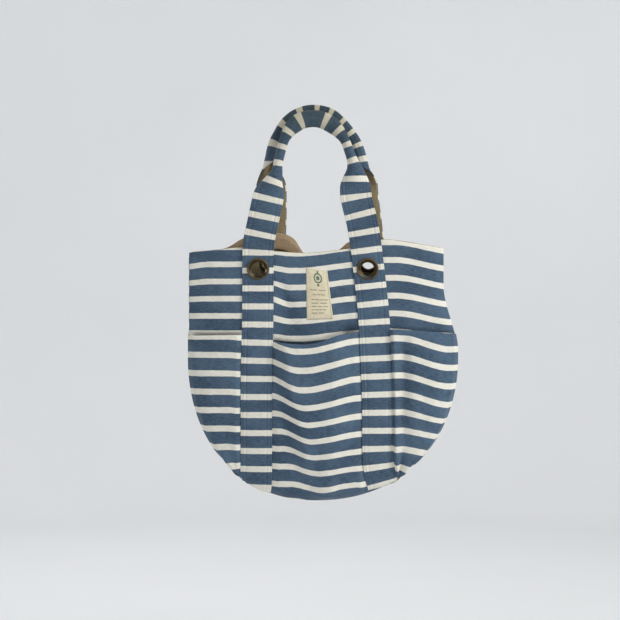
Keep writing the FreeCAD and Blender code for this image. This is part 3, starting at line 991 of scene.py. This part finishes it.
def stitch_mesh(runs):
    """Threads lying on the cloth: each run is a line of points with the outward normal at each."""
    verts, faces = [], []
    for line, normals in runs:
        gone = distances(line)
        for start in np.arange(0.5, gone[-1] - STITCH, STITCH + STITCH_GAP):
            share = np.linspace(0, 1, 5)
            where = start + share * STITCH
            middle, normal = along_line(where, gone, line), along_line(where, gone, normals)
            along = middle[-1] - middle[0]
            along /= max(np.linalg.norm(along), 1e-9)
            sideways = np.cross(along, normal)
            height = ARCH * np.sin(math.pi * share) - END_SUNK
            thick = THREAD * (END_THIN + (1 - END_THIN) * np.sin(math.pi * share))
            first = len(verts)
            for at in range(len(share)):
                for turn in range(ROUND):
                    angle = math.tau * turn / ROUND
                    verts.append(middle[at] + normal[at] * (height[at] + thick[at] * math.sin(angle))
                                 + sideways[at] * thick[at] * math.cos(angle))
            faces += ring_faces(first, len(share), ROUND)
            faces.append(tuple(first + turn for turn in range(ROUND))[::-1])
            faces.append(tuple(first + (len(share) - 1) * ROUND + turn for turn in range(ROUND)))
    return verts, faces


def stitch(name, runs, material, slot, follow):
    """One piece with all the stitches of its runs."""
    piece = new_object(name, *stitch_mesh(runs))
    paint(piece, material, slot)
    follow(piece)


def grid_run(half, points, column=None, row=None, thickness=PANEL_THICK):
    """A stitch run down a column or across a row of a sheet, on its outer face."""
    world, normal = in_world(half, points)
    pick = (slice(None), column) if column is not None else (row, slice(None))
    return world[pick] + normal[pick] * thickness / 2, normal[pick]


def make_strap_stitching(half):
    """The rows along the straps' edges, and the bars across them at the rim and the hems."""
    runs = []
    for offset in STITCH_ROWS:
        across = np.array([offset - STITCH_SIDE, offset, offset + STITCH_SIDE])
        points, _, _ = strap_surface(half, across, 0)
        runs.append(grid_run(half, points[:, ::-1], column=1, thickness=STRAP_THICK))
    across = np.linspace(-STRAP_HALF + 3, STRAP_HALF - 3, 24)
    points, _, _ = strap_surface(half, across, 0)
    middle = points[:, len(across) // 2]
    bars = []
    for side, is_side in (("left", middle[:, 0] < 0), ("right", middle[:, 0] > 0)):
        rim, hem = half.rim(half.strap_x(side, -200)), half.hems[side](half.strap_x(side, -320))
        for level in [rim - drop for drop in RIM_BARS] + [hem - drop for drop in HEM_BARS]:
            row = np.where(is_side, np.abs(middle[:, 2] - level), np.inf).argmin()
            bars.append(grid_run(half, points[:, ::-1], row=row, thickness=BAR_CLOTH))
    stitch(f"{half.name}_strap_bars", bars, "orange_thread", "striped_cotton", half.follow_handle)
    stitch(f"{half.name}_strap_stitching", runs, "tan_thread", "striped_cotton", half.follow_handle)


def level_run(half, left, right, height, lift):
    """A stitch run across the bag from left to right. height is made from x, and lift from x and z."""
    x = np.linspace(left, right, int((right - left) / 2))
    rows = [np.stack([x, height(x) + up], -1) for up in (STITCH_SIDE, 0, -STITCH_SIDE)]
    points = np.stack([on_surface(row[:, 0], row[:, 1], lift(row[:, 0], row[:, 1])) for row in rows])
    return grid_run(half, points, row=1)


# How far below the rim its two rows of stitches lie, and below each hem its one or two
RIM_ROW, UNDER_RIM_ROW = 3.2, 11
HEM_ROWS = {"left": (3.6,), "centre": (3.6,), "right": (2.4, 6.4)}


def make_cloth_stitching(half):
    """The rows below the rim and along the pockets' hems, from strap to strap."""
    def on_panel(x, z):
        return panel_lift(half, x, z)

    straps = {side: float(half.strap_x(side, -200)) for side in SIDES}
    shift = {side: half.strap_x(side, -325) - straps[side] for side in SIDES}
    # Ends of each place's rows at the rim, and how much further right they lie at the hem
    places = {
        "left": (-188, straps["left"] - STRAP_HALF, 0, shift["left"]),
        "centre": (straps["left"] + STRAP_HALF, straps["right"] - STRAP_HALF, shift["left"], shift["right"]),
        "right": (straps["right"] + STRAP_HALF, 198, shift["right"], 18),
    }
    rim_runs, hem_runs, low_runs = [], [], []
    for place, (left, right, left_shift, right_shift) in places.items():
        for runs, row in ((rim_runs, RIM_ROW), (low_runs, UNDER_RIM_ROW)):
            runs.append(level_run(half, left + 1, right - 1, lambda x: half.rim(x) - row, on_panel))
        left, right = left + left_shift, right + right_shift
        for row in HEM_ROWS[place]:
            hem_runs.append(level_run(
                half, left + 1, right - 1, lambda x: half.hems[place](x) - row,
                lambda x, z: pocket_lift(half, place, x, z)))
    for name, runs, material in (
            ("rim", rim_runs, "orange_thread"), ("hem", hem_runs, "orange_thread"),
            ("under_rim", low_runs, "tan_thread")):
        stitch(f"{half.name}_{name}_stitching", runs, material, "striped_cotton", half.follow_bag)


# ---- label

# The label's corners, left and right, and its width, its height as it hangs, and its cloth's own height
LABEL_CORNERS = {"top": ((-11.2, -217), (21.2, -222)), "bottom": ((-10.4, -297.4), (30.2, -296))}
LABEL_WIDE, LABEL_TALL, LABEL_CLOTH = 36, 76, 78
# How far the label and its print stand off the panel and the label
LABEL_LIFT, PRINT_LIFT = 1.15, 0.42
# Where its stitches run, as a share of its width in from the edge, and half the width of a printed bar
LABEL_INSET, BAR_HALF = 0.045, 0.010


def label_place(across, down):
    """x and z on the label, from shares across and down."""
    across, down = across[..., None], down[..., None]
    top, bottom = (
        np.array(left, float) + (np.array(right, float) - np.array(left, float)) * across
        for left, right in (LABEL_CORNERS["top"], LABEL_CORNERS["bottom"]))
    place = top + (bottom - top) * down
    return place[..., 0], place[..., 1]


def label_points(across, down, lift):
    """The label's cloth, fuller inside its edges than along them."""
    x, z = label_place(across, down)
    edge = np.minimum(np.minimum(across, 1 - across) * LABEL_WIDE, np.minimum(down, 1 - down) * LABEL_TALL)
    puff = 0.9 * step(edge, 1.5, 9) * (1 + 0.6 * ripple(x, z, 91, 40))
    return on_surface(x, z, panel_lift(FRONT, x, z) + LABEL_LIFT + puff + lift)


def make_label():
    across, down = np.meshgrid(np.linspace(0, 1, 25), np.linspace(0, 1, 49))
    points = label_points(across, down, 0)
    uv = np.stack([across * LABEL_WIDE, -down * LABEL_CLOTH], -1)
    looks = ("label_cotton", "label_cotton")
    piece = sew(FRONT, "label_cloth", points, uv, LABEL_THICK, looks, ["label"])

    print_patch("label_mark", "ink", ring_patches())
    print_patch("label_lines", "faded_ink", bar_patches())
    loop = []
    for start, end in (((0, 0), (1, 0)), ((1, 0), (1, 1)), ((1, 1), (0, 1)), ((0, 1), (0, 0))):
        share = np.linspace(0, 1, 40)
        across = LABEL_INSET + (1 - 2 * LABEL_INSET) * (start[0] + (end[0] - start[0]) * share)
        down = LABEL_INSET / 2 + (1 - LABEL_INSET) * (start[1] + (end[1] - start[1]) * share)
        nudge_across, nudge_down = (0, 1) if start[1] == end[1] else (1, 0)
        points = np.stack([
            label_points(across + nudge * nudge_across, down + nudge * nudge_down, 0)
            for nudge in (-0.004, 0, 0.004)])
        world, normal = grid_run(FRONT, points, row=1, thickness=LABEL_THICK)
        loop.append((world, np.where(normal[:, 1:2] > 0, -normal, normal)))
    stitch("label_stitching", loop, "pale_thread", "label_cotton", FRONT.follow_bag)


def ring_patches():
    """A plain oval ring with a dot in it, and a dot above and below."""
    turn = np.linspace(0, math.tau, 49)
    patches = []
    for inner, outer, middle in ((0.7, 1.0, 0.18), (0.0, 0.42, 0.18), (0.0, 0.26, 0.32), (0.0, 0.22, 0.055)):
        rows = [np.stack([0.52 + 0.19 * r * np.cos(turn), middle + 0.105 * r * np.sin(turn)], -1)
                for r in (inner, outer)]
        patches.append(np.stack(rows))
    return patches


def bar_patches():
    """Rows of short bars where a label would have its lines of words."""
    lines = ((0.42, 0.16, 0.88), (0.51, 0.26, 0.80), (0.61, 0.20, 0.90), (0.68, 0.20, 0.88),
             (0.745, 0.20, 0.90), (0.81, 0.20, 0.80), (0.875, 0.20, 0.72))
    patches = []
    for number, (down, left, right) in enumerate(lines):
        words = 2 + number % 3
        for word in range(words):
            width = (right - left) / words
            start = left + word * width
            across = np.linspace(start, start + width * 0.82, 8)
            edges = [np.stack([across, np.full(8, down + up)], -1) for up in (-BAR_HALF, BAR_HALF)]
            patches.append(np.stack(edges))
    return patches


def print_patch(name, material, patches):
    """Thin printed shapes on the label, from grids of shares across and down it."""
    verts, faces, uv = [], [], []
    for patch in patches:
        rows, columns = patch.shape[:2]
        first = len(verts)
        points = label_points(patch[..., 0], patch[..., 1], PRINT_LIFT)
        verts += [(x, -deep, z) for x, deep, z in points.reshape(-1, 3)]
        uv += [tuple(place) for place in patch.reshape(-1, 2) * LABEL_WIDE]
        for row in range(rows - 1):
            for column in range(columns - 1):
                a = first + row * columns + column
                faces.append((a, a + columns, a + columns + 1, a + 1))
    piece = new_object(name, verts, faces, uv)
    paint(piece, material, "label_cotton")
    FRONT.follow_bag(piece)


# ---- eyelets

RING_TURNS = 72
# How far the ring's foot stands off the outer surface, and its washer behind it
RING_LIFT = 1.7
WASHER_BEHIND = 5.2
# How far from the hole's middle the slope of the surface is taken
RING_REACH = 9


def eyelet_profile():
    """Radius and height of a deep dished ring: a rolled outer lip, a hollow, and a throat rolled inwards."""
    outer, throat, lip = 17.0, 10.0, 1.7
    points = [(throat + 0.9, -5.2), (throat + 0.15, -3.0), (throat, -0.5), (throat + 0.5, 1.0)]
    points += [(throat + 1.7, 1.9), (throat + 3.2, 2.3), (outer - 2 * lip, 3.3)]
    for number in range(9):
        angle = math.radians(120 - 25 * number)
        points.append((outer - lip + lip * math.cos(angle), 2.6 + lip * math.sin(angle)))
    points += [(outer - 2.2, 0.6), (throat + 2.0, -0.2), (throat + 1.0, -1.4), (throat + 1.4, -5.2)]
    return points


def washer_profile():
    return [(11.2, -0.7), (11.6, -1.3), (13.4, -1.6), (15.2, -1.2), (16, -0.4), (15.8, 0.1), (11.4, 0.1)]


def turn_profile(name, centre, outward, profile):
    """The profile, (radius, height along outward), turned about the line through centre."""
    outward = Vector(outward).normalized()
    across = outward.cross(Vector((0, 0, 1))).normalized()
    up = across.cross(outward)
    verts, faces = [], []
    for turn in range(RING_TURNS):
        angle = math.tau * turn / RING_TURNS
        radial = across * math.cos(angle) + up * math.sin(angle)
        verts += [tuple(Vector(centre) + radial * radius + outward * height) for radius, height in profile]
    count = len(profile)
    for turn in range(RING_TURNS):
        here, after = turn * count, (turn + 1) % RING_TURNS * count
        for number in range(count):
            other = (number + 1) % count
            faces.append((here + number, after + number, after + other, here + other))
    return new_object(name, verts, faces)


def make_eyelets(half):
    for side, centre in half.eyelets():
        place, beside, above = (
            on_surface(np.array(centre.x + right), np.array(centre.z + up), RING_LIFT)
            for right, up in ((0, 0), (RING_REACH, 0), (0, RING_REACH)))
        tilt = np.cross(beside - place, above - place)
        outward = Vector((tilt[0], half.sign * abs(tilt[1]), tilt[2]))
        middle = Vector((place[0], half.sign * place[1], place[2]))
        name = f"{half.name}_eyelet_{side}"
        ring = turn_profile(f"{name}_ring", middle, outward, eyelet_profile())
        behind = middle - outward.normalized() * WASHER_BEHIND
        washer = turn_profile(f"{name}_washer", behind, outward, washer_profile())
        for piece, node in ((ring, name), (washer, f"{half.name}_washer_{side}")):
            paint(piece, "brass", "antique_brass")
            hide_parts(node)
            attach(piece, half.bag)


# ---- the whole bag

for HALF in (FRONT, BACK):
    make_panel(HALF)
    make_lining(HALF)
    make_facing(HALF)
    for PLACE in PLACES:
        make_pocket(HALF, PLACE)
    make_strap(HALF)
    make_strap_lining(HALF)
    make_strap_stitching(HALF)
    make_cloth_stitching(HALF)
    make_eyelets(HALF)
make_label()


# ---- floor, light and camera


def plain(name, colour, roughness):
    """A nearly even colour for the backdrop."""
    mat = Nodes(name)
    darker = tuple(0.96 * value for value in colour[:3]) + (1,)
    return mat.finish(mat.mix(mat.speckle(3.0, 3.0), colour, darker), roughness)


def make_stage():
    """A round floor that turns up into a wall on every side, so every view has a plain background."""
    floor_level, radius, bend, wall_top, around = -950, 3000, 700, 2200, 96
    turn = np.linspace(0, math.pi / 2, 24)
    profile = [(0.01, floor_level), (radius - bend, floor_level)]
    profile += [
        (radius - bend + bend * math.sin(a), floor_level + bend - bend * math.cos(a)) for a in turn[1:]]
    profile += [(radius, wall_top)]
    verts = [(r * math.cos(math.tau * n / around), r * math.sin(math.tau * n / around), z)
             for r, z in profile for n in range(around)]
    faces = ring_faces(0, len(profile), around)
    floor = new_object("studio_sweep", verts, faces)
    floor.data.materials.append(plain("pale_sweep", rgb(232, 233, 234), 0.9))


BAG_MIDDLE = (0, 0, -0.28)
# Each light's name, place, target, size in metres, power in watts, and colour
LIGHTS = (
    ("window", (1.9, -1.2, 1.0), BAG_MIDDLE, (0.9, 1.2), 42, (1.0, 1.0, 0.99)),
    ("fill", (-1.6, -2.0, 0.1), BAG_MIDDLE, (1.8, 1.8), 5.5, (0.95, 0.98, 1.0)),
    ("above", (0, 0.1, 1.9), BAG_MIDDLE, (1.6, 1.2), 8, (1, 1, 1)),
    ("behind", (-1.3, 1.5, 1.2), BAG_MIDDLE, (1.2, 1.2), 14, (1, 1, 1)),
    ("backdrop", (0, 0.9, 1.5), (0, 3.0, -0.3), (2.4, 0.8), 14, (1, 1, 1)),
)
SKY_COLOUR, SKY_STRENGTH = (0.93, 0.96, 1.0, 1), 0.265


def area_light(name, place, target, size, power, colour):
    light = bpy.data.lights.new(name, "AREA")
    light.shape = "RECTANGLE"
    light.size, light.size_y = size
    light.energy = power
    light.color = colour
    lamp = place_in_scene(name, light)
    lamp.location = place
    lamp.rotation_euler = (Vector(target) - Vector(place)).to_track_quat("-Z", "Y").to_euler()


def make_lights():
    world = bpy.data.worlds.new("studio")
    world.use_nodes = True
    colour, strength = world.node_tree.nodes["Background"].inputs[:2]
    colour.default_value, strength.default_value = SKY_COLOUR, SKY_STRENGTH
    bpy.context.scene.world = world
    for light in LIGHTS:
        area_light(*light)


# Where the camera looks, from how far, how wide its picture is there, and its sensor
VIEW_X, VIEW_Z = -5.4, -282
VIEW_DISTANCE = 2200
FRAME_WIDTH = 961
SENSOR = 36


def make_camera():
    camera = bpy.data.cameras.new("camera")
    camera.sensor_width = SENSOR
    camera.lens = SENSOR * VIEW_DISTANCE / FRAME_WIDTH
    camera.clip_end = 20
    eye = place_in_scene("camera", camera)
    eye.location = (VIEW_X * MM, -VIEW_DISTANCE * MM, VIEW_Z * MM)
    eye.rotation_euler = (math.pi / 2, 0, 0)
    bpy.context.scene.camera = eye


make_stage()
make_lights()
make_camera()
bpy.context.scene.view_settings.view_transform = "Standard"
